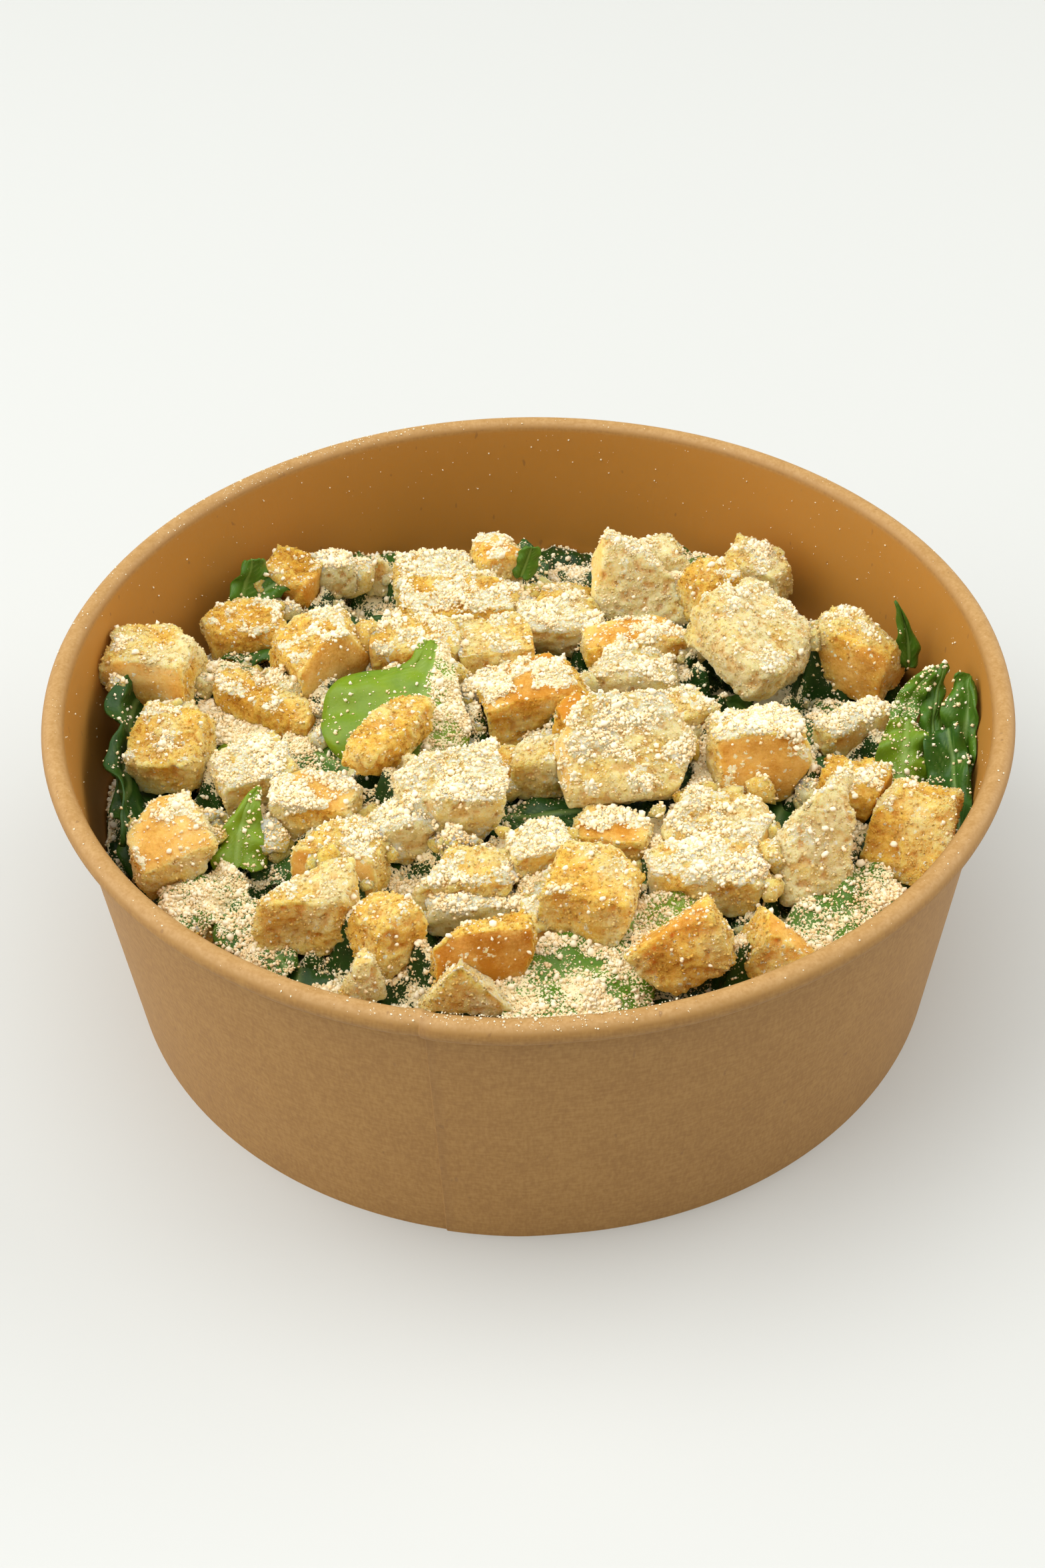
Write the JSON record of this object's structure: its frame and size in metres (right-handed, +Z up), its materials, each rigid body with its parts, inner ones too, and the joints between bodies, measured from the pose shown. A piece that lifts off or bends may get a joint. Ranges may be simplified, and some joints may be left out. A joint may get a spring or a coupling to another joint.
{
  "type": "caesar salad",
  "caption": "Caesar salad in a round kraft paper bowl: cut romaine under loose toasted croutons and grated cheese, open on top.",
  "frame": {"origin": "middle of the bowl's base, on the surface that it stands on", "axes": "+Z up along the bowl's axis; the camera's side of the salad is -Y, and the overlap seam of the paper wall is at the front, left of the middle"},
  "size_m": [0.1848, 0.1848, 0.0659],
  "materials": {
    "kraft_paper": "uncoated brown kraft board outside, thin clear coating inside, satin",
    "romaine": "wet glossy leaf (fresh lettuce) dusted with cheese",
    "toasted_bread": "bread: dry porous crumb, toasted edges",
    "parmesan": "grated hard cheese: dry powder and crumbs"
  },
  "bodies": {
    "root": {"bowl": "kraft_paper", "lettuce": "romaine", "crouton_01": "toasted_bread", "crouton_02": "toasted_bread", "crouton_03": "toasted_bread", "crouton_04": "toasted_bread", "crouton_05": "toasted_bread", "crouton_06": "toasted_bread", "crouton_07": "toasted_bread", "crouton_08": "toasted_bread", "crouton_09": "toasted_bread", "crouton_10": "toasted_bread", "crouton_11": "toasted_bread", "crouton_12": "toasted_bread", "crouton_13": "toasted_bread", "crouton_14": "toasted_bread", "crouton_15": "toasted_bread", "crouton_16": "toasted_bread", "crouton_17": "toasted_bread", "crouton_18": "toasted_bread", "crouton_19": "toasted_bread", "crouton_20": "toasted_bread", "crouton_21": "toasted_bread", "crouton_22": "toasted_bread", "crouton_23": "toasted_bread", "crouton_24": "toasted_bread", "crouton_25": "toasted_bread", "crouton_26": "toasted_bread", "crouton_27": "toasted_bread", "crouton_28": "toasted_bread", "crouton_29": "toasted_bread", "crouton_30": "toasted_bread", "crouton_31": "toasted_bread", "crouton_32": "toasted_bread", "crouton_33": "toasted_bread", "crouton_34": "toasted_bread", "crouton_35": "toasted_bread", "crouton_36": "toasted_bread", "crouton_37": "toasted_bread", "crouton_38": "toasted_bread", "crouton_39": "toasted_bread", "crouton_40": "toasted_bread", "crouton_41": "toasted_bread", "crouton_42": "toasted_bread", "crouton_43": "toasted_bread", "crouton_44": "toasted_bread", "crouton_45": "toasted_bread", "crouton_46": "toasted_bread", "crouton_47": "toasted_bread", "crouton_48": "toasted_bread", "crouton_49": "toasted_bread", "crouton_50": "toasted_bread", "crouton_51": "toasted_bread", "crouton_52": "toasted_bread", "crouton_53": "toasted_bread", "crouton_54": "toasted_bread", "crouton_55": "toasted_bread", "crouton_56": "toasted_bread", "crouton_57": "toasted_bread"}
  },
  "joints": []
}
